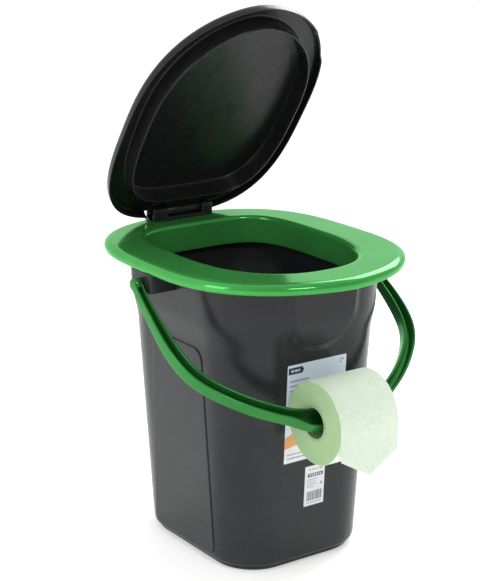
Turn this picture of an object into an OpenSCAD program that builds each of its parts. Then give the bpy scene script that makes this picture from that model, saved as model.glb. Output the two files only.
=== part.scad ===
// Portable camp toilet: tapered bucket, lift-off seat, hinged lid,
// and a bail handle whose grip carries a toilet roll.
// Millimetres, +Z up, front is -Y, origin on the floor at the bucket's centre.

/* [Bucket] */
// half width of the bucket wall just above the floor
base_w = 106.4; // [100:0.2:110]
// half length of the bucket wall just above the floor
base_l = 125; // [120:0.5:130]
// corner radius at the floor
base_r = 62; // [50:1:66]
// half width of the wall near the top
top_w = 127; // [125:0.5:128]
// half length of the wall near the top
top_l = 146; // [145:0.5:147]
// corner radius near the top
top_r = 76; // [70:1:80]
// height of the bucket rim
rim_z = 399; // [396:0.1:399]
// wall thickness
wall_t = 3; // [2.4:0.1:3.2]
// how far the pour lobe stands out of the front wall
lobe_out = 8; // [6:0.5:10]
// how far the flare near the top stands out
flare_out = 3.6; // [3:0.1:4]

/* [Seat] */
// half width of the seat
seat_w = 168.5; // [168:0.5:172]
// reach of the seat to the front
seat_front = 212; // [206:0.5:214]
// reach of the seat to the back
seat_back = 200; // [198:0.5:204]
// height of the seat's top
seat_z = 402.4; // [402.4:0.1:402.6]
// half width of the seat opening
open_w = 113; // [108:0.5:114]
// reach of the opening to the front
open_front = 154; // [149:0.5:154]
// reach of the opening to the back
open_back = 140; // [136:0.5:148]
// lower end of the collar
collar_z = 364; // [350:1:372]

/* [Lid] */
// angle of the lid above the closed position
lid_open = 55.1; // [0:0.1:90]
// half width of the lid
lid_w = 142; // [138:0.5:146]
// length of the lid from the hinge axis to its front edge
lid_l = 356; // [350:1:362]
// half width of the lid's inner ring
ring_w = 117.5; // [112:0.5:120]
// depth of the lid's outer skirt
skirt = 14; // [12:0.5:16]

/* [Hinge] */
// hinge axis behind the bucket's centre
hinge_y = 178; // [176:0.5:182]
// height of the hinge axis
hinge_z = 413.6; // [413:0.1:415]
// sideways offset of the lid and its hinge
hinge_x = 2; // [-4:0.5:4]
// diameter of the hinge pin
pin_d = 6; // [4:0.5:7]

/* [Handle] */
// pivot position behind the bucket's centre
pivot_y = 9; // [4:0.5:12]
// height of the pivot
pivot_z = 372; // [370:0.5:373]
// angle of the handle below level at rest
swing = 36.2; // [34:0.1:37]
// distance from the pivot to the grip
reach = 250; // [244:0.5:252]
// how much wider the arms get towards the grip
arm_grow = 0.42; // [0.2:0.02:0.44]
// diameter of the pivot studs
stud_d = 9; // [8:0.5:10]

/* [Roll] */
// outer diameter of the paper roll
roll_d = 106; // [90:1:108]
// length of the roll
roll_l = 90; // [80:1:94]
// inner diameter of the cardboard core
core_d = 39.6; // [39.4:0.2:42]
// how far the folded point of the loose sheet hangs below the roll's axis
tail_tip = 60; // [40:1:80]
// how far its side edges hang below the roll's axis
tail_side = 34; // [20:1:38]

/* [Hidden] */

grey = [0.22, 0.22, 0.23];
black = [0.14, 0.14, 0.145];
green = [0.22, 0.55, 0.24];
pale = [0.80, 0.93, 0.74];
slope_l = (top_l - base_l) / 377;
slope_w = (top_w - base_w) / 377;

function sgn(v) = v < 0 ? -1 : 1;
function clamp01(v) = min(1, max(0, v));
function smooth(v) = let (c = clamp01(v)) c * c * (3 - 2 * c);
function mix(a, b, f) = a + (b - a) * f;
function rev(v) = [for (i = [len(v) - 1 : -1 : 0]) v[i]];

// superellipse point, with its own reach and exponents front and back
function egg(t, w, lf, lb, nf, nb, mf, mb) =
  let (front = sin(t) < 0)
  let (n = front ? nf : nb, m = front ? mf : mb, l = front ? lf : lb)
  [w * sgn(cos(t)) * pow(abs(cos(t)), 2 / n),
   l * sgn(sin(t)) * pow(abs(sin(t)), 2 / m)];

// closes a list of equal rings into a skin; loop = true joins the last ring
// to the first, otherwise both ends are capped flat
module skin(rings, loop = false, cap = []) {
  n = len(rings[0]);
  m = len(rings);
  pts = [for (r = rings) each r];
  sides = [for (j = [0 : (loop ? m : m - 1) - 1], i = [0 : n - 1])
    let (a = j * n + i, b = j * n + (i + 1) % n)
    let (k = (j + 1) % m)
    let (c = k * n + (i + 1) % n, d = k * n + i)
    each [[a, b, c], [a, c, d]]];
  flat = len(cap) > 0 ? cap : [[for (i = [0 : n - 1]) i]];
  caps = loop ? [] : concat(
    [for (f = flat) [for (i = [len(f) - 1 : -1 : 0]) f[i]]],
    [for (f = flat) [for (i = f) (m - 1) * n + i]]);
  polyhedron(points = pts,
    faces = [for (f = concat(sides, caps)) [for (i = [len(f) - 1 : -1 : 0]) f[i]]],
    convexity = 8);
}

// ---------- bucket ----------
// stations round the rounded rectangle: [corner x sign, y sign, normal angle]
// on the four corners, and extra stations along the front for the lobe
corner_n = 9;
front_n = 16;
function corner(sx, sy, a0) =
  [for (i = [0 : corner_n]) [sx, sy, a0 + 90 * i / corner_n, 2]];
stations = concat(
  corner(1, 1, 0), corner(-1, 1, 90), corner(-1, -1, 180),
  [for (i = [1 : front_n - 1]) [-1 + 2 * i / front_n, -1, 270, 1]],
  corner(1, -1, 270));

// outward offset of the wall by height and place
function lobe(x, z) =
  let (rx = abs(x) / 57, rz = z < 372 ? (372 - z) / 80 : 0)
  let (rho = pow(pow(rx, 2.6) + pow(rz, 2.6), 1 / 2.6))
  lobe_out * smooth((1 - rho) / 0.16);
function flare(z, back) =
  flare_out * smooth((z - 296) / 40)
  + (back ? 3.2 * smooth((z - 310) / 45) : 0);

// one ring of the wall at height z, moved out by d
function wall_ring(z, d, zf) =
  let (a = base_w + slope_w * (zf - 8), b = base_l + slope_l * (zf - 8))
  let (r = base_r + (top_r - base_r) * (zf - 8) / 377)
  [for (s = stations)
    let (cx = s[3] == 1 ? s[0] * (a - r) : s[0] * (a - r))
    let (cy = s[1] * (b - r))
    let (nx = cos(s[2]), ny = sin(s[2]))
    let (bx = cx + r * nx)
    let (back = ny > 0 ? ny : 0)
    let (f = mix(flare(zf, false), flare(zf, true), back))
    let (lb = ny < -0.2 ? lobe(bx, zf) * -ny : 0)
    let (o = d + f + lb)
    [cx + (r + o) * nx, cy + (r + o) * ny, z]];

outer_z = [14, 60, 110, 160, 210, 255, 280, 288, 294, 300, 306, 312,
           318, 325, 332, 340, 350, 361, 372, 384];
module bucket_body() {
  foot = [wall_ring(0, -9, 8), wall_ring(0.8, -7.5, 8),
          wall_ring(7, -6, 8), wall_ring(7.4, -3.6, 8),
          wall_ring(8.6, -1.6, 8), wall_ring(11, -0.3, 9)];
  up = [for (z = outer_z) wall_ring(z, 0, z)];
  lip = [wall_ring(390, 0, 384), wall_ring(393, 2, 384),
         wall_ring(rim_z - 1, 2.2, 384), wall_ring(rim_z, 1.2, 384)];
  down = [wall_ring(rim_z, -wall_t + 1, 384),
          wall_ring(rim_z - 1.5, -wall_t, 384)];
  in = [for (i = [len(outer_z) - 1 : -1 : 1])
    wall_ring(outer_z[i], -wall_t, outer_z[i])];
  floor_in = [wall_ring(24, -wall_t - 0.6, 24),
              wall_ring(14, -wall_t - 2.6, 14),
              wall_ring(7, -wall_t - 7.4, 9), wall_ring(4, -wall_t - 11, 9)];
  skin(concat(foot, up, lip, down, in, floor_in));
}

ear_x = 166;
module ear_shape(s) {
  // box ear, open underneath, with a boss round the stud's bore
  root = 128.5;
  wide = ear_x - root;
  difference() {
    union() {
      difference() {
        translate([s > 0 ? root : -ear_x, -14, 363])
          cube([wide, 46, 24.6]);
        translate([s > 0 ? root + 4 : -ear_x + 3, -11, 362])
          cube([wide - 7, 40, 22.6]);
      }
      intersection() {
        translate([s * (root + wide / 2), pivot_y, pivot_z])
          rotate([0, 90, 0])
            cylinder(r = 8, h = wide, center = true, $fn = 48);
        translate([s > 0 ? root : -ear_x, -14, 363])
          cube([wide, 46, 24.6]);
      }
    }
    translate([s * 151, pivot_y, pivot_z])
      rotate([0, 90, 0])
        cylinder(d = stud_d + 0.12, h = 36, center = true, $fn = 48);
  }
}

module panel(s) {
  // raised field on the side wall, following its lean
  tilt = atan(slope_w);
  translate([s * (base_w - 8 * slope_w), 0, 0])
    rotate([0, s * tilt, 0])
      translate([s * -2.4, 0, 12])
        rotate([90, 0, s * 90])
          linear_extrude(height = 3.8)
            polygon([for (p = panel_pts) [s * p[0], p[1]]]);
}
function arc(cx, cy, r, a0, a1, n = 6) =
  [for (i = [0 : n]) let (a = a0 + (a1 - a0) * i / n)
    [cx + r * cos(a), cy + r * sin(a)]];
panel_pts = concat(arc(-52, 14, 14, 180, 270), arc(60, 14, 14, 270, 360),
  arc(38, 266, 17, 0, 90), arc(-44, 266, 17, 90, 180));

module bucket() {
  color(grey) {
    bucket_body();
    panel(1);
    panel(-1);
    ear_shape(1);
    ear_shape(-1);
  }
}

// ---------- seat ----------
seat_n = 88;
function seat_ring(z, d) =
  [for (i = [0 : seat_n - 1]) let (t = 360 * i / seat_n)
    concat(egg(t, seat_w + d, seat_front + d, seat_back + d,
      1.70, 2.27, 3.15, 3.15), [z])];
function open_ring(z, d) =
  [for (i = [0 : seat_n - 1]) let (t = 360 * i / seat_n)
    concat(egg(t, open_w + d, open_front + d, open_back + d,
      2.35, 4.1, 2.35, 4.1), [z])];
// width of the rounded edge round the opening: widest in front
function roll_w(y) = y < 0 ? 5 + 4.5 * smooth(-y / 150) : 5 - 1 * smooth(y / 130);
function roll_ring(a) =
  [for (i = [0 : seat_n - 1]) let (t = 360 * i / seat_n)
    let (p = egg(t, open_w - 3, open_front - 3, open_back - 3, 2.35, 4.1, 2.35, 4.1))
    let (d = -3 + roll_w(p[1]) * (1 - sin(a)))
    let (q = egg(t, open_w + d, open_front + d, open_back + d, 2.35, 4.1, 2.35, 4.1))
    [q[0], q[1], seat_z - (3 + 0.5 * roll_w(p[1])) * (1 - cos(a))]];
function blend_ring(z, f) =
  let (a = seat_ring(z, -11), b = roll_ring(0))
  [for (i = [0 : seat_n - 1])
    [mix(a[i][0], b[i][0], f), mix(a[i][1], b[i][1], f), z]];

module seat() {
  low = seat_z - 14;
  under = seat_z - 3;
  color(green)
    skin([
      seat_ring(low, -2.6), seat_ring(low + 1, -1.2), seat_ring(low + 3, -0.2),
      seat_ring(low + 5.4, 0), seat_ring(low + 8.8, -0.8),
      seat_ring(low + 11.6, -3.2), seat_ring(low + 13.3, -6.6),
      seat_ring(seat_z, -11), blend_ring(seat_z, 0.5), roll_ring(0),
      roll_ring(30), roll_ring(60), roll_ring(90),
      open_ring(collar_z + 1, -3.2), open_ring(collar_z, -2.6),
      open_ring(collar_z, -1.2), open_ring(collar_z + 1, -0.6),
      open_ring(under, -0.2), blend_ring(under, 0.5),
      seat_ring(under, -9), seat_ring(under - 2.5, -4.6),
      seat_ring(low + 6, -3), seat_ring(low, -3.6)
    ], loop = true);
}

// ---------- hinge ----------
module hinge_bracket() {
  color(black)
    difference() {
      union() {
        translate([hinge_x - 49.5, hinge_y - 13, seat_z + 0.05])
          cube([95.5, 26, 2]);
        translate([hinge_x - 30, hinge_y - 13, seat_z + 1.5])
          cube([60, 7, 3.5]);
        for (e = [[-49.5, 22.5], [29, 17]]) {
          translate([hinge_x + e[0], hinge_y - 12, seat_z + 1.5])
            cube([e[1], 12, 16]);
          translate([hinge_x + e[0], hinge_y, hinge_z])
            rotate([0, 90, 0])
              cylinder(r = 9, h = e[1], $fn = 48);
          translate([hinge_x + e[0], hinge_y - 9, seat_z + 1.5])
            cube([e[1], 18, 8]);
        }
      }
      translate([hinge_x - 60, hinge_y, hinge_z])
        rotate([0, 90, 0])
          cylinder(d = pin_d + 0.04, h = 120, $fn = 48);
    }
}

module hinge_pin() {
  color(black)
    translate([hinge_x - 50.3, hinge_y, hinge_z])
      rotate([0, 90, 0])
        cylinder(d = pin_d, h = 97.1, $fn = 48);
}

// ---------- lid, drawn closed about the hinge axis, front towards -Y.
// Heights are counted from the skirt's lower edge, level with the axis.
lid_n = 88;
lid_mid = 156;
ring_mid = 169;
ring_drop = hinge_z - seat_z - 0.35;
function lid_ring(w, d) =
  [for (i = [0 : lid_n - 1]) let (t = 360 * i / lid_n)
    let (p = egg(t, lid_w + d, lid_l - lid_mid + d, lid_mid + 12.6 + d,
      1.8, 3.0, 2.9, 2.9))
    [p[0] + hinge_x, p[1] - lid_mid, w]];
function plug_ring(w, d) =
  [for (i = [0 : lid_n - 1]) let (t = 360 * i / lid_n)
    let (p = egg(t, ring_w + d, 164.5 + d, 138.5 + d, 1.7, 4.4, 2.6, 2.6))
    [p[0] + hinge_x, p[1] - ring_mid, w]];
function centre_ring(w, f) =
  [for (p = plug_ring(w, 0)) [hinge_x + (p[0] - hinge_x) * f,
    -ring_mid + (p[1] + ring_mid) * f, w]];

module lid_shell() {
  k = skirt;
  skin(rev([
    centre_ring(k + 6.6, 0.04), centre_ring(k + 6, 0.5),
    centre_ring(k + 3.4, 0.96), lid_ring(k + 1.6, -14),
    lid_ring(k + 0.4, -5), lid_ring(k - 2, -1.6), lid_ring(k - 5, -0.4),
    lid_ring(3, 0), lid_ring(0, 0.4),
    lid_ring(0, -2.2), lid_ring(k - 6, -3), lid_ring(k - 3, -4.6),
    lid_ring(k - 2, -8), plug_ring(k - 1.8, 3.4), plug_ring(k - 3.2, 0.8),
    plug_ring(-ring_drop, 0), plug_ring(-ring_drop, -2.2),
    plug_ring(k - 2.4, -3), plug_ring(k, -4.6), centre_ring(k + 3.2, 0.5),
    centre_ring(k + 3.8, 0.04)
  ]));
}

module lid() {
  color(black)
    translate([0, hinge_y, hinge_z])
      rotate([-lid_open, 0, 0])
        difference() {
          union() {
            difference() {
              lid_shell();
              translate([hinge_x - 51.3, 6, -1])
                cube([99.3, 20, 26]);
              translate([126, -277, -2])
                rotate([0, 0, 70])
                  scale([2, 1, 1])
                    cylinder(r = 9, h = 10, $fn = 40);
            }
            translate([hinge_x - 26.6, 0, 0])
              rotate([0, 90, 0])
                cylinder(r = 8, h = 55.2, $fn = 48);
            translate([hinge_x - 26.6, -32, -2])
              cube([55.2, 32, skirt + 0.4]);
          }
          translate([hinge_x - 60, 0, 0])
            rotate([0, 90, 0])
              cylinder(d = pin_d + 0.1, h = 120, $fn = 48);
        }
}

// ---------- handle, drawn in its own plane: x across, r along, n up ----------
path_pts = [[-172.8, 0], [-175.6, 25], [-177.2, 55], [-178.2, 90],
            [-176.4, 120], [-170.5, 146], [-158, 169], [-137, 192],
            [-112, 213], [-84, 231], [-62, reach - 8], [-46, reach - 1.5],
            [-30, reach], [0, reach]];
path = concat(path_pts,
  [for (i = [len(path_pts) - 2 : -1 : 0]) [-path_pts[i][0], path_pts[i][1]]]);
function cat(p0, p1, p2, p3, u) =
  0.5 * (2 * p1 + (p2 - p0) * u + (2 * p0 - 5 * p1 + 4 * p2 - p3) * u * u
  + (3 * p1 - p0 - 3 * p2 + p3) * u * u * u);
sub = 3;
last = len(path) - 1;
curve = concat([for (i = [0 : last - 1], k = [0 : sub - 1])
  cat(path[max(0, i - 1)], path[i], path[i + 1],
    path[min(last, i + 2)], k / sub)], [path[last]]);
arm_u = [[-5.5, 6.2], [-5.5, 1], [-5.5, -4.6], [-4, -6.2], [0, -6.2],
         [4, -6.2], [5.5, -4.6], [5.5, 1], [5.5, 6.2], [3.3, 6.2],
         [3.3, 0], [3, -3], [0, -3.6], [-3, -3], [-3.3, 0], [-3.3, 6.2]];
grip_u = [[-13.6, 7.2], [-14.3, 1], [-12.8, -6.8], [-8, -12.3], [0, -14.8],
          [8, -12.3], [12.8, -6.8], [14.3, 1], [13.6, 7.2], [11, 7.2],
          [11.6, 1], [8.4, -7.6], [0, -11.8], [-8.4, -7.6], [-11.6, 1],
          [-11, 7.2]];
// the U section cut into triangles, for the two closed ends
u_cap = [[0, 1, 14], [0, 14, 15], [1, 2, 13], [1, 13, 14], [2, 3, 13],
         [3, 4, 12], [3, 12, 13], [4, 5, 11], [4, 11, 12], [5, 6, 11],
         [6, 7, 10], [6, 10, 11], [7, 8, 9], [7, 9, 10]];
// the arms grow wider and deeper from the pivot towards the grip
function u_at(p) = let (f = smooth((76 - abs(p[0])) / 30))
  let (g = 1.06 + arm_grow * smooth((p[1] - 15) / 120))
  [for (i = [0 : len(arm_u) - 1]) mix(g * arm_u[i], grip_u[i], f)];
function station(i) =
  let (p = curve[i], a = curve[max(0, i - 1)])
  let (b = curve[min(len(curve) - 1, i + 1)])
  let (t = (b - a) / norm(b - a))
  let (o = [-t[1], t[0]])
  [for (q = u_at(p)) [p[0] + o[0] * q[0], -p[1] - o[1] * q[0], q[1]]];

module eye(s) {
  // round end of the arm with its stud
  translate([s * 172.8, 0, 0])
    rotate([0, 90, 0])
      cylinder(r = 8, h = 11, center = true, $fn = 48);
  translate([s * 156, 0, 0])
    rotate([0, 90, 0])
      cylinder(d = stud_d, h = 26, center = true, $fn = 48);
}

module handle() {
  color(green)
    translate([0, pivot_y, pivot_z])
      rotate([swing, 0, 0]) {
        skin(rev([for (i = [0 : len(curve) - 1]) station(i)]), cap = u_cap);
        eye(1);
        eye(-1);
      }
}

// ---------- roll ----------
roll_y = pivot_y - (reach + 1.8) * cos(swing) + 2.4 * sin(swing);
roll_z = pivot_z - (reach + 1.8) * sin(swing) - 2.4 * cos(swing);
module tube(d1, d2, l) {
  translate([0, roll_y, roll_z])
    rotate([0, 90, 0])
      difference() {
        cylinder(d = d1, h = l, center = true, $fn = 96);
        cylinder(d = d2, h = l + 4, center = true, $fn = 64);
      }
}
module roll_core() {
  color([0.72, 0.76, 0.62])
    tube(core_d + 2.4, core_d, roll_l - 0.6);
}
module paper_roll() {
  color(pale)
    tube(roll_d, core_d + 2.44, roll_l);
}

// loose sheet: over the front of the roll, then hanging down
module paper_tail() {
  r0 = roll_d / 2 + 0.4;
  color(pale)
    intersection() {
      translate([0, roll_y, roll_z])
        rotate([90, 0, -90])
          translate([0, 0, -roll_l / 2 + 0.5])
            linear_extrude(height = roll_l - 1)
              polygon(concat(
                [for (i = [0 : 16]) let (a = 75 - 75 * i / 16)
                  [r0 * cos(a), r0 * sin(a)]],
                [[r0 + 0.5, -tail_tip / 2], [r0 + 2, -tail_tip - 1]],
                [[r0 + 2.4, -tail_tip - 1], [r0 + 0.9, -tail_tip / 2]],
                [for (i = [16 : -1 : 0]) let (a = 75 - 75 * i / 16)
                  [(r0 + 0.4) * cos(a), (r0 + 0.4) * sin(a)]]));
      translate([0, roll_y, roll_z])
        rotate([90, 0, 0])
          linear_extrude(height = 140, center = true)
            polygon([[-60, 70], [60, 70], [60, -tail_side],
              [roll_l / 2, -tail_side], [0, -tail_tip],
              [-roll_l / 2, -tail_side], [-60, -tail_side]]);
    }
}

// ---------- labels, on the leaning front wall ----------
module front_plate(w, z0, z1, x0) {
  translate([0, -(base_l - 8 * slope_l) - 0.03, 0])
    rotate([atan(slope_l), 0, 0])
      translate([x0, -0.3, z0])
        cube([w, 0.3, z1 - z0]);
}
module front_label() {
  color([0.92, 0.94, 0.96])
    front_plate(92, 148, 281, -46);
}
module barcode_label() {
  color([0.93, 0.93, 0.93])
    front_plate(31.5, 80, 136, -11);
}

bucket();
seat();
hinge_bracket();
hinge_pin();
lid();
handle();
roll_core();
paper_roll();
paper_tail();
front_label();
barcode_label();
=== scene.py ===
"""Portable camp toilet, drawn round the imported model.

Sizes in this file are millimetres unless a name says otherwise; MM turns them
into the frame's metres. Front is -Y, the floor is z = 0.
"""
import math
from math import cos, pi, radians, sin

import bmesh
import bpy
from mathutils import Matrix, Vector, noise


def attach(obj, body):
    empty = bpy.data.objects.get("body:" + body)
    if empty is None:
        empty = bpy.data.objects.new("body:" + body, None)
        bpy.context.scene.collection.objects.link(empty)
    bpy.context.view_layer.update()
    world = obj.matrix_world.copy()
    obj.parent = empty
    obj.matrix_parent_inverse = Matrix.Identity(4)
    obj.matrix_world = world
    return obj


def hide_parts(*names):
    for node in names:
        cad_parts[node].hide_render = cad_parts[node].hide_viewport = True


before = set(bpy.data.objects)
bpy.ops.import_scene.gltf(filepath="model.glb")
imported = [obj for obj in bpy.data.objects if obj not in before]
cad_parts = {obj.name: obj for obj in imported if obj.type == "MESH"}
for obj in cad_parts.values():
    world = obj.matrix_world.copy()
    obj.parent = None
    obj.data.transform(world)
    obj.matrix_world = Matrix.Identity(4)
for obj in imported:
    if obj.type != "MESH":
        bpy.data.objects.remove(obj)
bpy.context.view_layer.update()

MM = 0.001


# ---------------------------------------------------------------- small maths
def clamp(v, lo=0.0, hi=1.0):
    return min(hi, max(lo, v))


def smooth(v):
    c = clamp(v)
    return c * c * (3 - 2 * c)


def mix(a, b, f):
    return a + (b - a) * f


def power(v, e):
    return math.copysign(abs(v) ** e, v)


def egg(t, w, lf, lb, nf, nb, mf, mb):
    """Superellipse point at angle t, with its own reach front and back."""
    front = sin(t) < 0
    n, m, reach = (nf, mf, lf) if front else (nb, mb, lb)
    return w * power(cos(t), 2 / n), reach * power(sin(t), 2 / m)


def even(loop, count):
    """The closed line's points again, evenly spaced along it."""
    pts = [Vector(p) for p in loop]
    pts.append(pts[0])
    run = [0.0]
    for a, b in zip(pts, pts[1:]):
        run.append(run[-1] + (b - a).length)
    out, k = [], 0
    for i in range(count):
        s = run[-1] * i / count
        while run[k + 1] < s:
            k += 1
        f = (s - run[k]) / max(1e-9, run[k + 1] - run[k])
        out.append(pts[k].lerp(pts[k + 1], f))
    return out


def outset(loop, d):
    """The closed flat line moved out by d along its own normals."""
    n = len(loop)
    out = []
    for i in range(n):
        t = loop[(i + 1) % n] - loop[i - 1]
        out.append(loop[i] + Vector((t.y, -t.x)).normalized() * d)
    return out


# ---------------------------------------------------------------- mesh makers
def make(name, verts, faces, body, mats, sharp=40, slots=None, scale=MM):
    me = bpy.data.meshes.new(name)
    me.from_pydata([tuple(c * scale for c in v) for v in verts], [], faces)
    if slots:
        for p, s in zip(me.polygons, slots):
            p.material_index = s
    bm = bmesh.new()
    bm.from_mesh(me)
    bmesh.ops.recalc_face_normals(bm, faces=bm.faces)
    bm.to_mesh(me)
    bm.free()
    for p in me.polygons:
        p.use_smooth = True
    me.set_sharp_from_angle(angle=radians(sharp))
    ob = bpy.data.objects.new(name, me)
    bpy.context.scene.collection.objects.link(ob)
    for m in mats if isinstance(mats, (list, tuple)) else [mats]:
        me.materials.append(m)
    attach(ob, body)
    return ob


class Mesh:
    """Collects vertices and faces of one piece."""

    def __init__(self):
        self.v, self.f, self.s = [], [], []

    def add(self, verts, faces, slot=0):
        k = len(self.v)
        self.v += [tuple(p) for p in verts]
        self.f += [tuple(k + i for i in face) for face in faces]
        self.s += [slot] * len(faces)

    def skin(self, rings, loop=False, caps=True, slot=0, open_rings=False):
        n, m = len(rings[0]), len(rings)
        faces = []
        for j in range(m if loop else m - 1):
            for i in range(n - 1 if open_rings else n):
                a, b = j * n + i, j * n + (i + 1) % n
                k = (j + 1) % m
                faces.append((a, b, k * n + (i + 1) % n, k * n + i))
        if caps and not loop:
            faces.append(tuple(range(n - 1, -1, -1)))
            faces.append(tuple((m - 1) * n + i for i in range(n)))
        self.add([p for r in rings for p in r], faces, slot)

    def lathe(self, profile, at, n=96, slot=0, loop=True):
        """profile is (along the axis, radius); the axis is X."""
        rings = []
        for k in range(n):
            a = 2 * pi * k / n
            rings.append([(at[0] + x, at[1] + r * cos(a), at[2] + r * sin(a)) for x, r in profile])
        m = len(profile)
        faces = []
        for k in range(n):
            for i in range(m if loop else m - 1):
                a, b = k * m + i, k * m + (i + 1) % m
                c = ((k + 1) % n) * m
                faces.append((a, b, c + (i + 1) % m, c + i))
        self.add([p for r in rings for p in r], faces, slot)

    def block(self, lo, hi, r=1.0, turn=None, slot=0, segments=3):
        """A box with rounded edges."""
        bm = bmesh.new()
        bmesh.ops.create_cube(bm, size=1.0)
        for v in bm.verts:
            v.co = Vector([mix(a, b, c + 0.5) for a, b, c in zip(lo, hi, v.co)])
        bmesh.ops.bevel(bm, geom=bm.edges[:] + bm.verts[:], offset=r, segments=segments,
                        profile=0.5, affect="EDGES")
        if turn is not None:
            bmesh.ops.transform(bm, matrix=turn, verts=bm.verts)
        bm.verts.index_update()
        self.add([v.co.copy() for v in bm.verts],
                 [[v.index for v in f.verts] for f in bm.faces], slot)
        bm.free()

    def done(self, name, body, mats, sharp=40, turn=None):
        v = self.v if turn is None else [turn @ Vector(p) for p in self.v]
        return make(name, v, self.f, body, mats, sharp, self.s)


def rounded_bar(length, outer, inner, r):
    """Closed (x, radius) profile of a tube with rounded outer edges."""
    h = length / 2
    pts = [(-h, inner)]
    for k in range(6):
        a = pi / 2 * k / 5
        pts.append((-h + r - r * cos(a), outer - r + r * sin(a)))
    for k in range(6):
        a = pi / 2 * k / 5
        pts.append((h - r + r * sin(a), outer - r + r * cos(a)))
    pts.append((h, inner))
    return pts


# ---------------------------------------------------------------- materials
class Nodes:
    def __init__(self, name):
        self.mat = bpy.data.materials.new(name)
        self.mat.use_nodes = True
        self.t = self.mat.node_tree
        self.b = self.t.nodes["Principled BSDF"]
        self.place = self.new("ShaderNodeTexCoord").outputs["Object"]

    def new(self, kind, **props):
        n = self.t.nodes.new(kind)
        for k, v in props.items():
            setattr(n, k, v)
        return n

    def link(self, a, b):
        self.t.links.new(a, b)

    def set(self, **vals):
        for k, v in vals.items():
            self.b.inputs[k.replace("_", " ")].default_value = v
        return self

    def noise(self, scale, detail=3, rough=0.5, stretch=None, distort=0.0):
        n = self.new("ShaderNodeTexNoise")
        n.inputs["Scale"].default_value = scale
        n.inputs["Detail"].default_value = detail
        n.inputs["Roughness"].default_value = rough
        n.inputs["Distortion"].default_value = distort
        place = self.place
        if stretch:
            m = self.new("ShaderNodeMapping")
            m.inputs["Scale"].default_value = stretch
            self.link(place, m.inputs["Vector"])
            place = m.outputs["Vector"]
        self.link(place, n.inputs["Vector"])
        return n.outputs["Fac"]

    def ramp(self, fac, stops):
        r = self.new("ShaderNodeValToRGB")
        e = r.color_ramp.elements
        while len(e) < len(stops):
            e.new(0.5)
        for el, (p, c) in zip(e, stops):
            el.position = p
            el.color = tuple(c) + (1,) if len(c) == 3 else tuple(c)
        self.link(fac, r.inputs["Fac"])
        return r.outputs["Color"]

    def span(self, fac, lo, hi, a=0.3, b=0.7):
        m = self.new("ShaderNodeMapRange")
        for k, v in (("From Min", a), ("From Max", b), ("To Min", lo), ("To Max", hi)):
            m.inputs[k].default_value = v
        self.link(fac, m.inputs["Value"])
        return m.outputs["Result"]

    def blend(self, fac, a, b, kind="MIX"):
        m = self.new("ShaderNodeMix", data_type="RGBA", blend_type=kind)
        for sock, v in ((m.inputs["Factor"], fac), (m.inputs[6], a), (m.inputs[7], b)):
            if hasattr(v, "is_linked") or isinstance(v, bpy.types.NodeSocket):
                self.link(v, sock)
            else:
                sock.default_value = v
        return m.outputs[2]

    def math(self, op, a, b):
        m = self.new("ShaderNodeMath", operation=op)
        for sock, v in zip(m.inputs, (a, b)):
            if isinstance(v, bpy.types.NodeSocket):
                self.link(v, sock)
            else:
                sock.default_value = v
        return m.outputs[0]

    def bumps(self, heights):
        """heights: (socket, distance in mm); each adds to the next."""
        last = None
        for h, d in heights:
            n = self.new("ShaderNodeBump")
            n.inputs["Strength"].default_value = 1.0
            n.inputs["Distance"].default_value = d * MM
            self.link(h, n.inputs["Height"])
            if last is not None:
                self.link(last, n.inputs["Normal"])
            last = n.outputs["Normal"]
        self.link(last, self.b.inputs["Normal"])
        return self


def tint(c, f):
    return tuple(clamp(v * f) for v in c)


def plastic(name, colour, rough=0.25, grain=0.004, vary=0.12, wear=0.25, ior=1.5, wave=0.05):
    """Moulded plastic: faint mottling, fine grain, handling marks, paler edges."""
    n = Nodes(name)
    n.set(IOR=ior)
    c = n.ramp(n.noise(9, 4, 0.55), [(0.3, tint(colour, 1 - vary)), (0.7, tint(colour, 1 + vary))])
    fleck = n.ramp(n.noise(240, 2, 0.6), [(0.45, (0.97,) * 3), (0.6, (1.03,) * 3)])
    c = n.blend(1.0, c, fleck, "MULTIPLY")
    edge = n.span(n.new("ShaderNodeNewGeometry").outputs["Pointiness"], 0, wear, 0.52, 0.60)
    pale = tuple(mix(v, 0.45, 0.35) for v in colour) + (1,)
    c = n.blend(edge, c, pale)
    n.link(c, n.b.inputs["Base Color"])
    scuff = n.noise(38, 5, 0.7, stretch=(1, 1, 0.25), distort=0.6)
    marks = n.noise(150, 2, 0.5, stretch=(1, 0.08, 1))
    r = n.math("ADD", n.span(scuff, rough * 0.85, rough * 1.25, 0.35, 0.7),
               n.span(marks, 0.0, rough * 0.25, 0.5, 0.75))
    n.link(r, n.b.inputs["Roughness"])
    n.bumps([(n.noise(900, 2, 0.6), grain), (n.noise(14, 2, 0.4), wave)])
    return n.mat


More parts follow.
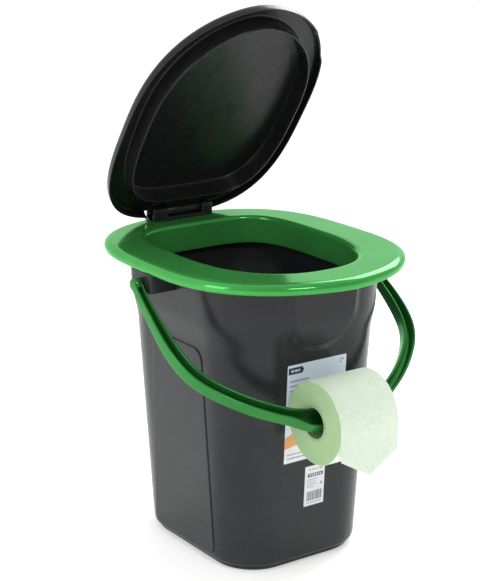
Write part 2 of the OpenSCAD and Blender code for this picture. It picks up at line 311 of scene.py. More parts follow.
def tissue(name, colour, groove_shade, emboss=0.10, glow=0.25):
    """Soft embossed tissue with feathery lines, their grooves painted darker as shade."""
    n = Nodes(name)
    n.set(IOR=1.35)
    n.b.inputs["Subsurface Weight"].default_value = glow
    n.b.inputs["Subsurface Radius"].default_value = (0.8, 1.0, 0.7)
    n.b.inputs["Subsurface Scale"].default_value = 0.004
    n.b.inputs["Sheen Weight"].default_value = 0.15
    n.b.inputs["Sheen Roughness"].default_value = 0.6
    w = n.new("ShaderNodeTexWave", wave_type="BANDS", bands_direction="DIAGONAL")
    w.inputs["Scale"].default_value = 34
    w.inputs["Distortion"].default_value = 26
    w.inputs["Detail"].default_value = 2.5
    w.inputs["Detail Scale"].default_value = 1.6
    w.inputs["Detail Roughness"].default_value = 0.55
    n.link(n.place, w.inputs["Vector"])
    line = n.span(w.outputs["Fac"], 0.0, 1.0, 0.05, 0.32)
    gate = n.span(n.noise(30, 2, 0.5), 0.0, 1.0, 0.42, 0.58)
    press = n.math("MAXIMUM", line, gate)
    fibre = n.noise(700, 4, 0.7)
    soft = n.noise(45, 3, 0.5)
    base = n.ramp(n.noise(12, 3, 0.5), [(0.3, tint(colour, 0.96)), (0.7, tint(colour, 1.03))])
    # painted shade: the pressed grooves get the darker colour, on top of the bump
    base = n.blend(n.span(press, 0.55, 0.0, 0.0, 1.0), base, tuple(groove_shade) + (1,))
    n.link(base, n.b.inputs["Base Color"])
    n.link(n.span(fibre, 0.75, 0.95), n.b.inputs["Roughness"])
    n.bumps([(fibre, 0.03), (soft, 0.25), (press, emboss)])
    return n.mat


def rolled_face(name, colour):
    """Wound paper's ends: tissue-like, with fine rings."""
    n = Nodes(name)
    n.set(IOR=1.35)
    n.b.inputs["Subsurface Weight"].default_value = 0.25
    n.b.inputs["Subsurface Radius"].default_value = (0.8, 1.0, 0.7)
    n.b.inputs["Subsurface Scale"].default_value = 0.004
    at = n.new("ShaderNodeMapping")
    at.inputs["Location"].default_value = (0, -ROLL_Y * MM, -ROLL_Z * MM)
    n.link(n.place, at.inputs["Vector"])
    w = n.new("ShaderNodeTexWave", wave_type="RINGS", rings_direction="X")
    w.inputs["Scale"].default_value = 190
    w.inputs["Distortion"].default_value = 1.2
    w.inputs["Detail"].default_value = 2
    n.link(at.outputs["Vector"], w.inputs["Vector"])
    fibre = n.noise(600, 4, 0.7)
    base = n.ramp(n.noise(26, 4, 0.6), [(0.3, tint(colour, 0.93)), (0.7, tint(colour, 1.05))])
    rings = n.ramp(w.outputs["Fac"], [(0.2, (0.93,) * 3), (0.8, (1.0,) * 3)])
    base = n.blend(1.0, base, rings, "MULTIPLY")
    n.link(base, n.b.inputs["Base Color"])
    n.link(n.span(fibre, 0.8, 0.95), n.b.inputs["Roughness"])
    n.bumps([(fibre, 0.03), (w.outputs["Fac"], 0.05), (n.noise(40, 3, 0.5), 0.3)])
    return n.mat


def print_ink(name, colour, rough=0.35):
    """Ink on a coated paper label."""
    n = Nodes(name)
    n.set(IOR=1.45)
    c = n.ramp(n.noise(60, 3, 0.5), [(0.3, tint(colour, 0.95)), (0.7, tint(colour, 1.03))])
    n.link(c, n.b.inputs["Base Color"])
    n.link(n.span(n.noise(200, 2), rough * 0.9, rough * 1.2), n.b.inputs["Roughness"])
    n.bumps([(n.noise(500, 3, 0.6), 0.01), (n.noise(30, 2), 0.08)])
    return n.mat


def card(name, colour):
    n = Nodes(name)
    pulp = n.noise(180, 5, 0.7, stretch=(0.3, 1, 1))
    c = n.ramp(pulp, [(0.3, tint(colour, 0.85)), (0.7, tint(colour, 1.1))])
    n.link(c, n.b.inputs["Base Color"])
    n.link(n.span(n.noise(300, 3), 0.75, 0.92), n.b.inputs["Roughness"])
    n.bumps([(n.noise(500, 4, 0.7), 0.05)])
    return n.mat


# ---------------------------------------------------------------- bucket
BASE_W, BASE_L, BASE_R = 106.4, 125.0, 62.0
TOP_W, TOP_L, TOP_R = 127.0, 146.0, 76.0
RIM_Z, WALL = 399.0, 3.0
SLOPE_W, SLOPE_L = (TOP_W - BASE_W) / 377, (TOP_L - BASE_L) / 377
ROLL_SWING = radians(36.2)
PIVOT_Y, PIVOT_Z, REACH = 9.0, 372.0, 250.0
ROLL_Y = PIVOT_Y - (REACH + 1.8) * cos(ROLL_SWING) + 2.4 * sin(ROLL_SWING)
ROLL_Z = PIVOT_Z - (REACH + 1.8) * sin(ROLL_SWING) - 2.4 * cos(ROLL_SWING)


def stations():
    out = []
    corner, side, back, front = 20, 10, 12, 64

    def arc(sx, sy, a0):
        for i in range(corner + 1):
            out.append((sx, sy, radians(a0 + 90 * i / corner)))

    arc(1, 1, 0)
    out.extend((1 - 2 * i / back, 1, pi / 2) for i in range(1, back))
    arc(-1, 1, 90)
    out.extend((-1, 1 - 2 * i / side, pi) for i in range(1, side))
    arc(-1, -1, 180)
    out.extend((-1 + 2 * i / front, -1, 1.5 * pi) for i in range(1, front))
    arc(1, -1, 270)
    out.extend((1, -1 + 2 * i / side, 2 * pi) for i in range(1, side))
    return out


STATIONS = stations()


def lobe(x, z):
    rx, rz = abs(x) / 57, (372 - z) / 80 if z < 372 else 0
    rho = (rx ** 2.6 + rz ** 2.6) ** (1 / 2.6)
    return 8 * smooth((1 - rho) / 0.16)


def flare(z, back):
    return 3.6 * smooth((z - 296) / 40) + back * 3.2 * smooth((z - 310) / 45)


def wall_ring(z, d, zf=None):
    zf = z if zf is None else zf
    a, b = BASE_W + SLOPE_W * (zf - 8), BASE_L + SLOPE_L * (zf - 8)
    r = BASE_R + (TOP_R - BASE_R) * (zf - 8) / 377
    ring = []
    for sx, sy, t in STATIONS:
        cx, cy, nx, ny = sx * (a - r), sy * (b - r), cos(t), sin(t)
        o = d + flare(zf, max(0, ny))
        if ny < -0.2:
            o += lobe(cx + r * nx, zf) * -ny
        ring.append((cx + (r + o) * nx, cy + (r + o) * ny, z))
    return ring


def bucket_shell():
    m = Mesh()
    foot = [wall_ring(z, d, 8) for z, d in (
        (0, -9.2), (0.25, -8.5), (0.8, -7.6), (1.8, -6.9), (4, -6.3), (6.6, -6),
        (7.2, -5.6), (7.4, -4.6), (7.5, -3.6), (7.9, -2.5), (8.6, -1.6), (9.6, -0.8), (11, -0.3))]
    levels = [14, 20, 30] + list(range(45, 276, 15)) + list(range(279, 385, 3))
    up = [wall_ring(z, 0) for z in levels]
    lip = [wall_ring(z, d, 384) for z, d in (
        (388, 0), (390, 0.1), (391.4, 0.7), (392.4, 1.7), (394, 2.2), (RIM_Z - 1, 2.1), (RIM_Z, 1.2),
        (RIM_Z, -WALL + 1), (RIM_Z - 1.5, -WALL))]
    down = [wall_ring(z, -WALL) for z in reversed(levels[2:])]
    floor = [wall_ring(z, d, 14) for z, d in (
        (24, -3.6), (17, -4.6), (11, -6.6), (7.4, -9.4), (5, -13), (4, -18))]
    m.skin(foot + up + lip + down + floor)
    # raised field on each side wall
    tilt = math.atan(SLOPE_W)
    corners = ((-52, 14, 14, 180), (60, 14, 14, 270), (38, 266, 17, 0), (-44, 266, 17, 90))
    line = [Vector((cx + r * cos(radians(a0 + 90 * k / 10)), cz + r * sin(radians(a0 + 90 * k / 10))))
            for cx, cz, r, a0 in corners for k in range(11)]
    for s in (1, -1):
        turn = (Matrix.Translation((s * (BASE_W - 8 * SLOPE_W), 0, 0))
                @ Matrix.Rotation(s * tilt, 4, "Y") @ Matrix.Translation((0, 0, 12)))
        rings = []
        for d, h in ((0, -1.5), (0, 0.7), (-0.15, 1.05), (-0.5, 1.32), (-1.0, 1.4), (-3, 1.42)):
            rings.append([turn @ Vector((s * h, p.x, p.y)) for p in outset(line, d)])
        m.skin(rings)
    return m.done("bucket_shell", "base", GREY)


def ears():
    """Open-bottomed boxes that carry the studs, with a boss inside."""
    m = Mesh()
    x0, x1, y0, y1, z0, z1 = 127.5, 166.0, -14.0, 32.0, 363.0, 387.6
    for s in (1, -1):
        for t, (zl, zh) in ((0, (z0, z1)), (3, (z0, z1 - 3))):
            r = 3.2 if t == 0 else 1.2
            plan = []
            for cx, cy, a0 in ((x1 - t - r, y0 + t + r, -90), (x1 - t - r, y1 - t - r, 0)):
                for k in range(7):
                    a = radians(a0 + 15 * k)
                    plan.append((cx + r * cos(a), cy + r * sin(a)))
            plan += [(x0, y1 - t), (x0, y0 + t)]
            if t == 0:
                shell = [[(s * x, y, z) for x, y in plan] for z in (zl, zl + 0.5, zh - 1, zh)]
            else:
                shell += [[(s * x, y, z) for x, y in plan] for z in (zh, zl)]
        m.skin(shell, loop=True)
        lo, hi = (132, 162.9) if s > 0 else (-162.9, -132)
        m.lathe([(lo, 4.56), (lo, 8), (hi, 8), (hi, 4.56)], (0, PIVOT_Y, PIVOT_Z), 48)
    return m.done("ears", "base", GREY)


# ---------------------------------------------------------------- labels
TILT = math.atan(SLOPE_L)
FRONT_Y = -(BASE_L - 8 * SLOPE_L) - 0.03


def on_front(x, z, out):
    """Point on the leaning front wall, `out` above it."""
    return (x, FRONT_Y - out * cos(TILT) - z * sin(TILT), -out * sin(TILT) + z * cos(TILT))


def rect_line(x0, x1, z0, z1, r, n=5):
    out = []
    left, right, low, high = x0 + r, x1 - r, z0 + r, z1 - r
    for cx, cz, a0 in ((right, low, -90), (right, high, 0), (left, high, 90), (left, low, 180)):
        for k in range(n + 1):
            a = radians(a0 + 90 * k / n)
            out.append((cx + r * cos(a), cz + r * sin(a)))
    return out


def patch(m, line, low, high, slot):
    m.skin([[on_front(x, z, low) for x, z in line], [on_front(x, z, high) for x, z in line]], slot=slot)


def front_sticker():
    m = Mesh()
    patch(m, rect_line(-46, 46, 148, 281, 1.5), 0.0, 0.28, 0)
    # printed fields, each a thin layer of ink
    patch(m, [(-46, 184), (-10, 196), (20, 184), (46, 190), (46, 150), (-46, 150)][::-1], 0.2, 0.31, 1)
    patch(m, [(-46, 168), (46, 182), (46, 149), (-46, 149)][::-1], 0.2, 0.33, 2)
    tab = [(-44.5, 268.6), (-23.5, 268.6), (-20.5, 273), (-23.5, 277.4), (-44.5, 277.4)]
    patch(m, tab[::-1], 0.2, 0.32, 3)
    for k, w in enumerate((2.2, 1.6, 2.4, 1.8, 2.0)):
        x = -40.6 + 2.9 * k
        patch(m, rect_line(x, x + w, 271.4, 274.6, 0.4, 2), 0.3, 0.36, 2)
    ring = [(39 + 3.2 * cos(a), 273.6 + 3.2 * sin(a)) for a in [2 * pi * k / 24 for k in range(20)]]
    inner = [(39 + 2.3 * cos(a), 273.6 + 2.3 * sin(a)) for a in [2 * pi * k / 24 for k in range(20)]]
    patch(m, ring + inner[::-1], 0.2, 0.32, 3)
    for k in range(3):
        z = 258 - 6.5 * k
        patch(m, rect_line(-42, -42 + (30, 38, 24)[k], z, z + 2.2, 0.5, 2), 0.2, 0.31, 4)
    patch(m, rect_line(-42, 10, 153, 155, 0.5, 2), 0.3, 0.36, 4)
    patch(m, rect_line(-42, 2, 158.4, 160.2, 0.5, 2), 0.3, 0.36, 4)
    return m.done("front_sticker", "base", [LABEL, AMBER, INK_WHITE, NAVY, GREY_INK])


def code_sticker():
    m = Mesh()
    patch(m, rect_line(-11, 20.5, 80, 136, 0.8), 0.0, 0.28, 0)
    patch(m, rect_line(-6.5, 17.5, 120.4, 125, 0.3, 2), 0.2, 0.31, 1)
    for k in range(6):
        x = -4 + 3.4 * k
        patch(m, rect_line(x, x + 2.2, 121.6, 123.8, 0.2, 2), 0.3, 0.34, 0)
    for k, (x, w) in enumerate(((-4.6, 3.0), (0.6, 4.4), (7, 2.2), (11.6, 5))):
        patch(m, rect_line(x, x + w, 129.5, 131.4, 0.2, 2), 0.2, 0.31, 2)
    for k in range(4):
        z = 116 - 3.4 * k
        patch(m, rect_line(-7, 10 - (0, 3, 1, 5)[k], z, z + 1.1, 0.2, 2), 0.2, 0.31, 2)
    patch(m, rect_line(14, 17, 107, 111, 0.4, 2), 0.2, 0.31, 2)
    # upright bars of changing width
    x, k = -6.8, 0
    widths = (0.7, 0.4, 1.1, 0.5, 0.4, 0.9, 0.5, 1.3, 0.4, 0.6, 1.0, 0.4, 0.5, 1.2, 0.6, 0.4, 0.9, 0.5, 0.7)
    while x < 17 and k < len(widths):
        w = widths[k]
        patch(m, rect_line(x, x + w, 87, 100, 0.05, 1), 0.2, 0.31, 1)
        x += w + widths[(k * 7 + 3) % len(widths)] * 0.85
        k += 1
    patch(m, rect_line(-6.8, 16.6, 83.4, 84.6, 0.2, 2), 0.2, 0.31, 2)
    return m.done("code_sticker", "base", [INK_WHITE, BLACK_INK, GREY_INK])


# ---------------------------------------------------------------- seat
SEAT_N = 288
SEAT_Z = 402.4
SEAT_W, SEAT_FRONT, SEAT_BACK = 168.5, 212, 200
OPEN_W, OPEN_FRONT, OPEN_BACK = 113, 154, 140


def roll_width(y):
    """Width of the rounded edge round the opening."""
    return 5 + 4.5 * smooth(-y / 150) if y < 0 else 5 - smooth(y / 130)


def by_angle(line, n=SEAT_N):
    """The closed line again, one point per even angle round the middle."""
    pts = sorted(line, key=lambda p: math.atan2(p.y, p.x))
    ang = [math.atan2(p.y, p.x) for p in pts]
    out, j = [], 0
    for i in range(n):
        a = -pi + 2 * pi * (i + 0.5) / n
        while j < len(ang) and ang[j] < a:
            j += 1
        k, q = (j - 1) % len(pts), j % len(pts)
        da = (ang[q] - ang[k]) % (2 * pi) or 1e-9
        out.append(pts[k].lerp(pts[q], ((a - ang[k]) % (2 * pi)) / da))
    return out


def seat_shell():
    steps = [2 * pi * k / 2880 for k in range(2880)]
    outline = [Vector(egg(t, SEAT_W, SEAT_FRONT, SEAT_BACK, 1.70, 2.27, 3.15, 3.15)) for t in steps]
    hole = [Vector(egg(t, OPEN_W, OPEN_FRONT, OPEN_BACK, 2.35, 4.1, 2.35, 4.1)) for t in steps]
    rim, gap = by_angle(even(outline, 1440)), by_angle(even(hole, 1440))

    def around(line, d, z):
        return [(p.x, p.y, z) for p in outset(line, d)]

    def between(f, z, d, e):
        a, b = outset(rim, d), outset(gap, e)
        return [(mix(p.x, q.x, f), mix(p.y, q.y, f), z) for p, q in zip(a, b)]

    wall = outset(gap, -3)
    normal = [(q - p).normalized() for p, q in zip(wall, outset(gap, -2))]
    start = [p + q * roll_width(p.y) for p, q in zip(wall, normal)]

    def rolled(a):
        """The rounded edge at angle a from the top."""
        ring = []
        for p, q in zip(wall, normal):
            w = roll_width(p.y)
            o = p + q * w * (1 - sin(a))
            ring.append((o.x, o.y, SEAT_Z - (3 + 0.5 * w) * (1 - cos(a))))
        return ring

    low, top, under = SEAT_Z - 14, SEAT_Z, SEAT_Z - 3
    rings = [around(rim, d, low + z) for d, z in (
        (-3.1, 0.0), (-2.4, 0.05), (-1.7, 0.35), (-1.0, 1.0), (-0.5, 1.9), (-0.15, 3.2))]
    for k in range(13):
        a = pi / 2 * k / 12
        rings.append(around(rim, -11.5 * (1 - cos(a)) ** 1.05, low + 5.4 + 8.6 * sin(a) ** 0.94))
    edge = outset(rim, -11.5)
    for f in (0.04, 0.2, 0.4, 0.6, 0.8, 0.96):
        rings.append([(mix(p.x, q.x, f), mix(p.y, q.y, f), top) for p, q in zip(edge, start)])
    rings += [rolled(pi / 2 * k / 12) for k in range(13)]
    rings += [around(gap, d, z) for d, z in (
        (-3.05, 392), (-3.1, 380), (-3.15, 370), (-3.1, 365.4), (-2.8, 364.4), (-2.2, 364.0),
        (-1.4, 364.1), (-0.8, 364.8), (-0.6, 366), (-0.4, 380), (-0.2, under - 1), (0.4, under))]
    rings += [between(f, under, -9, 2) for f in (0.8, 0.5, 0.2)]
    rings += [around(rim, -9, under), around(rim, -5.6, under - 1.6), around(rim, -4.4, under - 4),
              around(rim, -3.4, low + 6), around(rim, -3.4, low + 0.6)]
    m = Mesh()
    m.skin(rings, loop=True)
    return m.done("seat_shell", "seat_unit", GREEN, sharp=60)


# ---------------------------------------------------------------- hinge and lid
HINGE_X, HINGE_Y, HINGE_Z = 2.0, 178.0, 413.6
LID_OPEN = 55.1
# depth of the lid's skirt; heights on the lid are counted from its lower edge
K = 14.0


def hinge_block():
    m = Mesh()
    x = HINGE_X
    m.block((x - 49.5, HINGE_Y - 13, SEAT_Z + 0.05), (x + 46, HINGE_Y + 13, SEAT_Z + 2.05), 0.7)
    m.block((x - 30, HINGE_Y - 13, SEAT_Z + 0.6), (x + 30, HINGE_Y - 6, SEAT_Z + 5), 1.0)
    for a, w in ((-49.5, 22.5), (29, 17)):
        m.block((x + a, HINGE_Y - 12, SEAT_Z + 0.4), (x + a + w, HINGE_Y + 0.4, SEAT_Z + 17.5), 1.2)
        m.block((x + a, HINGE_Y - 9, SEAT_Z + 0.4), (x + a + w, HINGE_Y + 9, SEAT_Z + 9.5), 1.0)
        m.lathe([(x + a + u, r) for u, r in ((0, 3.0), (0, 8.2), (0.3, 8.7), (0.9, 9), (w - 0.9, 9),
                                            (w - 0.3, 8.7), (w, 8.2), (w, 3.0))], (0, HINGE_Y, HINGE_Z), 64)
    return m.done("hinge_block", "seat_unit", BLACK)


def hinge_rod():
    m = Mesh()
    m.lathe([(-50.3, 0.01), (-50.3, 2.4), (-49.7, 3), (46.2, 3), (46.8, 2.4), (46.8, 0.01)],
            (HINGE_X, HINGE_Y, HINGE_Z), 40, loop=False)
    return m.done("hinge_rod", "seat_unit", BLACK)


def lid_shell():
    n = 288
    outer = [Vector(egg(2 * pi * k / 2880, 142, 200, 168.6, 1.8, 3.0, 2.9, 2.9)) for k in range(2880)]
    inner = [Vector(egg(2 * pi * k / 2880, 117.5, 164.5, 138.5, 1.7, 4.4, 2.6, 2.6)) for k in range(2880)]
    off = Vector((HINGE_X, -156))
    lo, li = by_angle(even(outer, 1440), n), by_angle(even(inner, 1440), n)
    li = [p + Vector((0, -13)) for p in li]

    def around(line, d, w, dip=None):
        ring = []
        for p in outset(line, d):
            q = p + off
            ring.append((q.x, q.y, w + (dip(q) if dip else 0)))
        return ring

    def toward(f, w, d=-4.6):
        mid = Vector((0, -13))
        return [(off.x + p.x * f, off.y + mid.y + (p.y - mid.y) * f, w) for p in outset(li, d)]

    def bite(q):
        """How far the finger notch lifts the skirt's edge at q."""
        s, x = -q.y, q.x - HINGE_X
        u = ((x - 124) * -0.485 + (s - 285) * 0.875) / 27
        v = ((x - 124) * 0.875 + (s - 285) * 0.485) / 30
        if abs(v) > 1 or abs(u) > 1.25:
            return 0.0
        return 8.5 * smooth((1.12 - abs(u)) / 0.3) * (0.72 + 0.28 * u)

    def step(q):
        """A small step in the inner ring's edge."""
        s, x = -q.y, q.x - HINGE_X
        return 1.6 if x < -20 and s > 298 and x > -82 + (s - 298) * 0.9 else 0.0

    drop = HINGE_Z - SEAT_Z - 0.35
    rings = [toward(0.04, K + 6.6, 0), toward(0.3, K + 6.4, 0), toward(0.55, K + 5.7, 0),
             toward(0.8, K + 4.6, 0), toward(0.96, K + 3.4, 0)]
    top = []
    for k in range(9):
        a = pi / 2 * k / 8
        top.append((-14 + 14 * sin(a), (K + 1.6) - 10.6 * (1 - cos(a)) ** 1.1))
    rings += [around(lo, d, w) for d, w in top]
    rings += [around(lo, 0.1, 3, lambda q: 0.35 * bite(q)), around(lo, 0.3, 1.0, bite),
              around(lo, 0.2, 0.3, bite), around(lo, -0.3, 0.0, bite), around(lo, -1.4, 0.0, bite),
              around(lo, -2.0, 0.3, bite), around(lo, -2.3, 1.2, lambda q: 0.9 * bite(q)),
              around(lo, -2.8, 6, lambda q: 0.3 * bite(q)), around(lo, -3.4, 9), around(lo, -4.6, 10.9),
              around(lo, -6.4, 11.8), around(lo, -8.5, 12.1)]
    gap = [(p, q) for p, q in zip(outset(lo, -8.5), outset(li, 4))]
    for f in (0.35, 0.7):
        rings.append([(mix(p.x, q.x, f) + off.x, mix(p.y, q.y, f) + off.y, K - 1.8) for p, q in gap])
    rings += [around(li, d, w) for d, w in (
        (3.6, K - 1.9), (2.2, K - 2.2), (1.2, K - 3.0), (0.7, K - 4.4), (0.4, 4), (0.2, -6))]
    rings += [around(li, d, w, step) for d, w in (
        (0.0, 0.9 - drop), (-0.2, 0.25 - drop), (-0.7, -drop), (-1.5, -drop),
        (-2.0, 0.25 - drop), (-2.2, 0.9 - drop))]
    rings += [around(li, d, w) for d, w in (
        (-2.3, -6), (-2.5, 4), (-2.8, K - 3.4), (-3.2, K - 1.6), (-4.2, K - 0.5), (-6, K))]
    rings += [toward(f, K + up) for f, up in ((0.94, 0.6), (0.75, 1.9), (0.5, 3.0), (0.25, 3.6), (0.04, 3.8))]
    m = Mesh()
    m.skin(rings)
    shell = make("lid_tmp", m.v, m.f, "lid_unit", BLACK, 60, m.s)
    # the place where the hinge goes through the skirt is cut out
    cut = Mesh()
    cut.block((HINGE_X - 51.3, 6, -3), (HINGE_X + 48, 26, 28), 1.0)
    cutter = make("lid_cut", cut.v, cut.f, "lid_unit", BLACK, 60)
    return shell, cutter


def finish_lid():
    shell, cutter = lid_shell()
    mod = shell.modifiers.new("cut", "BOOLEAN")
    mod.object, mod.operation, mod.solver = cutter, "DIFFERENCE", "EXACT"
    bpy.context.view_layer.update()
    dg = bpy.context.evaluated_depsgraph_get()
    me = bpy.data.meshes.new_from_object(shell.evaluated_get(dg))
    base = Mesh()
    base.add([v.co / MM for v in me.vertices], [tuple(p.vertices) for p in me.polygons])
    for o in (shell, cutter):
        bpy.data.objects.remove(o, do_unlink=True)
    x = HINGE_X
    knuckle = ((-26.6, 3.06), (-26.6, 7.4), (-26, 8), (28, 8), (28.6, 7.4), (28.6, 3.06))
    base.lathe([(x + u, r) for u, r in knuckle], (0, 0, 0), 64)
    base.block((x - 26.6, -32, -2), (x + 28.6, -1, K + 0.3), 1.0)
    for a in (-18, 0, 18):
        base.block((x + 1 + a - 0.7, -31, -3.2), (x + 1 + a + 0.7, -8, 1), 0.3)
    turn = (Matrix.Translation((0, HINGE_Y, HINGE_Z)) @ Matrix.Rotation(radians(-LID_OPEN), 4, "X"))
    return base.done("lid_shell", "lid_unit", BLACK, sharp=50, turn=turn)


# ---------------------------------------------------------------- handle
def catmull(pts, sub):
    out, last = [], len(pts) - 1
    for i in range(last):
        p0, p1, p2, p3 = pts[max(0, i - 1)], pts[i], pts[i + 1], pts[min(last, i + 2)]
        for k in range(sub):
            u = k / sub
            out.append(0.5 * (2 * p1 + (p2 - p0) * u + (2 * p0 - 5 * p1 + 4 * p2 - p3) * u * u
                              + (3 * p1 - p0 - 3 * p2 + p3) * u ** 3))
    return out + [pts[-1]]


def round_corners(pts, radius, n=3):
    out, count = [], len(pts)
    for i in range(count):
        p, a, b = Vector(pts[i]), Vector(pts[i - 1]), Vector(pts[(i + 1) % count])
        ra = min(radius, (a - p).length * 0.42)
        rb = min(radius, (b - p).length * 0.42)
        s, e = p + (a - p).normalized() * ra, p + (b - p).normalized() * rb
        for k in range(n + 1):
            t = k / n
            out.append(s * (1 - t) ** 2 + p * 2 * t * (1 - t) + e * t * t)
    return out


ARM_GROW = 0.42


def handle_bail():
    half = [(-172.8, 0), (-175.6, 25), (-177.2, 55), (-178.2, 90), (-176.4, 120), (-170.5, 146),
            (-158, 169), (-137, 192), (-112, 213), (-84, 231), (-62, REACH - 8), (-46, REACH - 1.5),
            (-30, REACH), (0, REACH)]
    path = [Vector(p) for p in half] + [Vector((-x, r)) for x, r in reversed(half[:-1])]
    curve = catmull(path, 10)
    arm = [(-5.5, 6.2), (-5.5, 1), (-5.5, -4.6), (-4, -6.2), (0, -6.2), (4, -6.2), (5.5, -4.6), (5.5, 1),
           (5.5, 6.2), (3.3, 6.2), (3.3, 0), (3, -3), (0, -3.6), (-3, -3), (-3.3, 0), (-3.3, 6.2)]
    grip = [(-13.6, 7.2), (-14.3, 1), (-12.8, -6.8), (-8, -12.3), (0, -14.8), (8, -12.3),
            (12.8, -6.8), (14.3, 1), (13.6, 7.2), (11, 7.2), (11.6, 1),
            (8.4, -7.6), (0, -11.8), (-8.4, -7.6), (-11.6, 1), (-11, 7.2)]
    a2, g2 = round_corners(arm, 0.9), round_corners(grip, 1.2)
    rings = []
    for i, p in enumerate(curve):
        t = (curve[min(len(curve) - 1, i + 1)] - curve[max(0, i - 1)]).normalized()
        o = Vector((-t.y, t.x))
        f = smooth((76 - abs(p.x)) / 30)
        grow = 1.06 + ARM_GROW * smooth((p.y - 15) / 120)
        ring = []
        for u, v in zip(a2, g2):
            q = (u * grow).lerp(v, f)
            ring.append((p.x + o.x * q.x, -p.y - o.y * q.x, q.y))
        rings.append(ring)
    m = Mesh()
    m.skin(rings)
    for s in (1, -1):
        x = s * 172.8
        m.lathe([(x - 5.5, 0.02), (x - 5.5, 7), (x - 4.6, 8), (x + 4.6, 8), (x + 5.5, 7), (x + 5.5, 0.02)],
                (0, 0, 0), 56, loop=False)
        a, b = sorted((s * 143, s * 168))
        m.lathe([(a, 0.02), (a, 4), (a + 0.5, 4.5), (b, 4.5)], (0, 0, 0), 40, loop=False)
    turn = Matrix.Translation((0, PIVOT_Y, PIVOT_Z)) @ Matrix.Rotation(ROLL_SWING, 4, "X")
    return m.done("handle_bail", "handle_unit", GREEN2, sharp=50, turn=turn)


# ---------------------------------------------------------------- roll
def wound_paper():
    """The wound roll: outer skin, rounded edges, ends that lie a little uneven."""
    m = Mesh()
    n, h, ro, ri, r = 160, 45.0, 52.9, 21.1, 1.6
    prof = [(-h + 0.8, ri), (-h + 0.1, ri + 1.2)]
    prof += [(-h, ri + 1.2 + (ro - r - ri - 1.2) * k / 10) for k in range(1, 11)]
    prof += [(-h + r - r * cos(a), ro - r + r * sin(a)) for a in [pi / 2 * k / 6 for k in range(1, 7)]]
    prof += [(-h + r + (2 * h - 2 * r) * k / 12, ro) for k in range(1, 12)]
    prof = prof + [(-x, q) for x, q in reversed(prof) if x < -h + r + 1e-6]
    rings = []
    for k in range(n):
        a = 2 * pi * k / n
        ring = []
        for x, q in prof:
            end = smooth((abs(x) - h + 2.5) / 2)
            e = 0.45 * noise.noise(Vector((x * 0.02, q * 0.11 * cos(a), q * 0.11 * sin(a))))
            swell = 0.35 * noise.noise(Vector((x * 0.03, 1.3 * cos(a), 1.3 * sin(a)))) - 0.1
            q2 = q + swell * smooth((q - 40) / 10)
            x2 = x - math.copysign(1, x) * (0.3 + e) * end
            ring.append((x2, ROLL_Y + q2 * cos(a), ROLL_Z + q2 * sin(a)))
        rings.append(ring)
    m.skin(rings, loop=True, caps=False)
    m.s = [1 if abs(sum(m.v[i][0] for i in f) / len(f)) > h - 1.0 else 0 for f in m.f]
    return m.done("wound_paper", "roll", [TISSUE, ROLL_END], sharp=75)


def card_core():
    m = Mesh()
    m.lathe(rounded_bar(89.4, 21.0, 19.8, 0.5), (0, ROLL_Y, ROLL_Z), 96)
    return m.done("card_core", "roll", CARD)


SHEET_W = 89.0
SHEET_R = 53.5
SHEET_FROM = radians(112)
SIDE_DROP, TIP_DROP = 34.0, 60.0


def loose_sheet():
    """The last sheet: over the roll's front, hanging, its corners folded behind to a point."""
    arc = SHEET_R * SHEET_FROM
    length = arc + TIP_DROP

    def place(u, s, out):
        """u across, s along from the start; out is away from the roll."""
        if s < arc:
            a = SHEET_FROM - s / SHEET_R
            lift = -0.35 * smooth(1 - s / 25)
            r = SHEET_R + lift + out
            return Vector((u, ROLL_Y - r * cos(a), ROLL_Z + r * sin(a)))
        d = s - arc
        wave = 0.9 * noise.noise(Vector((u * 0.025, d * 0.03, 4.2))) * smooth(d / 18)
        lean = 1.4 * smooth(d / 60)
        return Vector((u, ROLL_Y - (SHEET_R + lean + wave + out), ROLL_Z - d))

    m = Mesh()
    cols, rows = 44, 84
    half = SHEET_W / 2
    k = (TIP_DROP - SIDE_DROP) / half
    grid = []
    for j in range(rows + 1):
        row = []
        for i in range(cols + 1):
            u = -half + SHEET_W * i / cols
            end = arc + TIP_DROP - k * abs(u)
            s = end * j / rows
            pimple = 0.10 * noise.noise(Vector((u * 0.22, s * 0.22, 0.5)))
            row.append(place(u, s, pimple))
        grid.append(row)
    m.skin(grid, caps=False, open_rings=True)
    # corners folded behind, along the slanted lower edges
    for side in (1, -1):
        a, b = Vector((side * half, arc + SIDE_DROP)), Vector((0, arc + TIP_DROP))
        axis = (b - a).normalized()
        corner = Vector((side * half, arc + TIP_DROP))
        flat = corner - a
        image = a + 2 * axis * flat.dot(axis) - flat
        n = 14
        rows2 = []
        for j in range(n + 1):
            f = j / n
            start = a.lerp(b, f)
            target = image.lerp(b, f)
            rows2.append([place(p.x, p.y, -(0.08 + 0.5 * smooth(g * 3)))
                          for g in [q / n for q in range(n + 1)] for p in [start.lerp(target, g)]])
        m.skin(rows2, caps=False, open_rings=True)
    ob = m.done("loose_sheet", "tail", TISSUE_SHEET, sharp=80)
    return ob, length


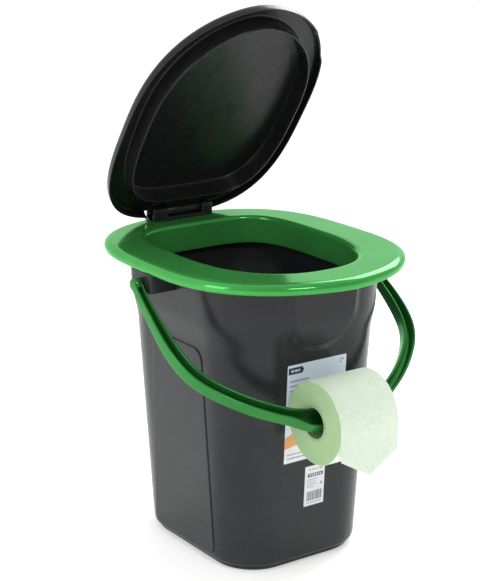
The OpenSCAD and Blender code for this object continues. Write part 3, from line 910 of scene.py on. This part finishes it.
# ---------------------------------------------------------------- make it all
GREY = plastic("bucket_grey", (0.021, 0.022, 0.024), rough=0.24, wear=0.0, ior=1.34)
GREEN = plastic("seat_green", (0.062, 0.365, 0.078), rough=0.12, wear=0.08, ior=1.5, wave=0.03)
GREEN.node_tree.nodes["Principled BSDF"].inputs["Metallic"].default_value = 0.4
GREEN.node_tree.nodes["Principled BSDF"].inputs["Specular Tint"].default_value = (0.35, 1.0, 0.42, 1)
GREEN2 = plastic("handle_green", (0.032, 0.205, 0.044), rough=0.2, wear=0.08, wave=0.03)
GREEN2.node_tree.nodes["Principled BSDF"].inputs["Metallic"].default_value = 0.4
GREEN2.node_tree.nodes["Principled BSDF"].inputs["Specular Tint"].default_value = (0.35, 1.0, 0.42, 1)
BLACK = plastic("lid_black", (0.0115, 0.0108, 0.0120), rough=0.27, wear=0.08, ior=1.34)
# the third colour of each tissue is painted shade for the emboss grooves
TISSUE = tissue("tissue", (0.85, 0.93, 0.81), (0.60, 0.76, 0.53), emboss=0.16)
TISSUE_SHEET = tissue("tissue_sheet", (0.76, 0.87, 0.72), (0.60, 0.77, 0.54), emboss=0.18)
ROLL_END = rolled_face("roll_end", (0.36, 0.53, 0.285))
CARD = card("card", (0.36, 0.53, 0.285))
LABEL = print_ink("label_face", (0.74, 0.81, 0.93))
AMBER = print_ink("label_amber", (0.75, 0.36, 0.10))
INK_WHITE = print_ink("label_white", (0.80, 0.80, 0.82))
NAVY = print_ink("label_navy", (0.02, 0.03, 0.07))
GREY_INK = print_ink("label_grey", (0.35, 0.37, 0.42))
BLACK_INK = print_ink("label_black", (0.03, 0.03, 0.035))

for piece, node in (
    (bucket_shell(), "bucket"),
    (front_sticker(), "front_label"),
    (code_sticker(), "barcode_label"),
    (seat_shell(), "seat"),
    (hinge_block(), "hinge_bracket"),
    (hinge_rod(), "hinge_pin"),
    (finish_lid(), "lid"),
    (handle_bail(), "handle"),
    (wound_paper(), "paper_roll"),
    (card_core(), "roll_core"),
):
    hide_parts(node)
ear_piece = ears()
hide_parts("bucket")
tail, tail_length = loose_sheet()
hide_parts("paper_tail")

# ---------------------------------------------------------------- stage
floor = bpy.data.meshes.new("floor")
R = 60.0
floor.from_pydata([(-R, -R, 0), (R, -R, 0), (R, R, 0), (-R, R, 0)], [], [(0, 1, 2, 3)])
floor_ob = bpy.data.objects.new("floor", floor)
bpy.context.scene.collection.objects.link(floor_ob)
fmat = Nodes("floor_pale")
fmat.set(Base_Color=(0.88, 0.88, 0.88, 1), Roughness=0.75)
fmat.b.inputs["Emission Color"].default_value = (1, 1, 1, 1)
fmat.b.inputs["Emission Strength"].default_value = 0.36
floor.materials.append(fmat.mat)


def area(name, at, aim, size, power_w, size_y=None):
    d = bpy.data.lights.new(name, "AREA")
    d.energy, d.size = power_w, size
    if size_y:
        d.shape, d.size_y = "RECTANGLE", size_y
    o = bpy.data.objects.new(name, d)
    o.location = at
    o.rotation_euler = (Vector(aim) - Vector(at)).to_track_quat("-Z", "Y").to_euler()
    bpy.context.scene.collection.objects.link(o)
    return o


area("key_right", (2.0, 0.9, 1.9), (0, 0, 0.35), 1.4, 42)
area("soft_left", (-2.2, -0.2, 1.1), (0, 0, 0.25), 0.9, 14, 1.6)
area("front_strip", (-0.25, -2.3, 2.3), (0, -0.1, 0.35), 0.8, 17, 0.4)

world = bpy.data.worlds.new("studio")
bpy.context.scene.world = world
world.use_nodes = True
wt = world.node_tree
bg = wt.nodes["Background"]
coord = wt.nodes.new("ShaderNodeTexCoord")
sep = wt.nodes.new("ShaderNodeSeparateXYZ")
wt.links.new(coord.outputs["Generated"], sep.inputs[0])
ramp = wt.nodes.new("ShaderNodeMapRange")
for key, val in (("From Min", -0.7), ("From Max", 0.3), ("To Min", 0.40), ("To Max", 1.02)):
    ramp.inputs[key].default_value = val
wt.links.new(sep.outputs["Y"], ramp.inputs["Value"])
wt.links.new(ramp.outputs["Result"], bg.inputs["Strength"])
bg.inputs["Color"].default_value = (1, 1, 1, 1)

# the camera stands at the photo's angle; metres
CAMERA_AT = (-1.2112, -1.7114, 0.9410)
CAMERA_AIM = (-0.0140, 0.0097, 0.3378)

scene = bpy.context.scene
scene.view_settings.view_transform = "Standard"
cam = bpy.data.cameras.new("camera")
cam.sensor_fit, cam.sensor_height, cam.lens = "VERTICAL", 36, 103.2
cam_ob = bpy.data.objects.new("camera", cam)
cam_ob.location = CAMERA_AT
cam_ob.rotation_euler = (Vector(CAMERA_AIM) - cam_ob.location).to_track_quat("-Z", "Y").to_euler()
scene.collection.objects.link(cam_ob)
scene.camera = cam_ob
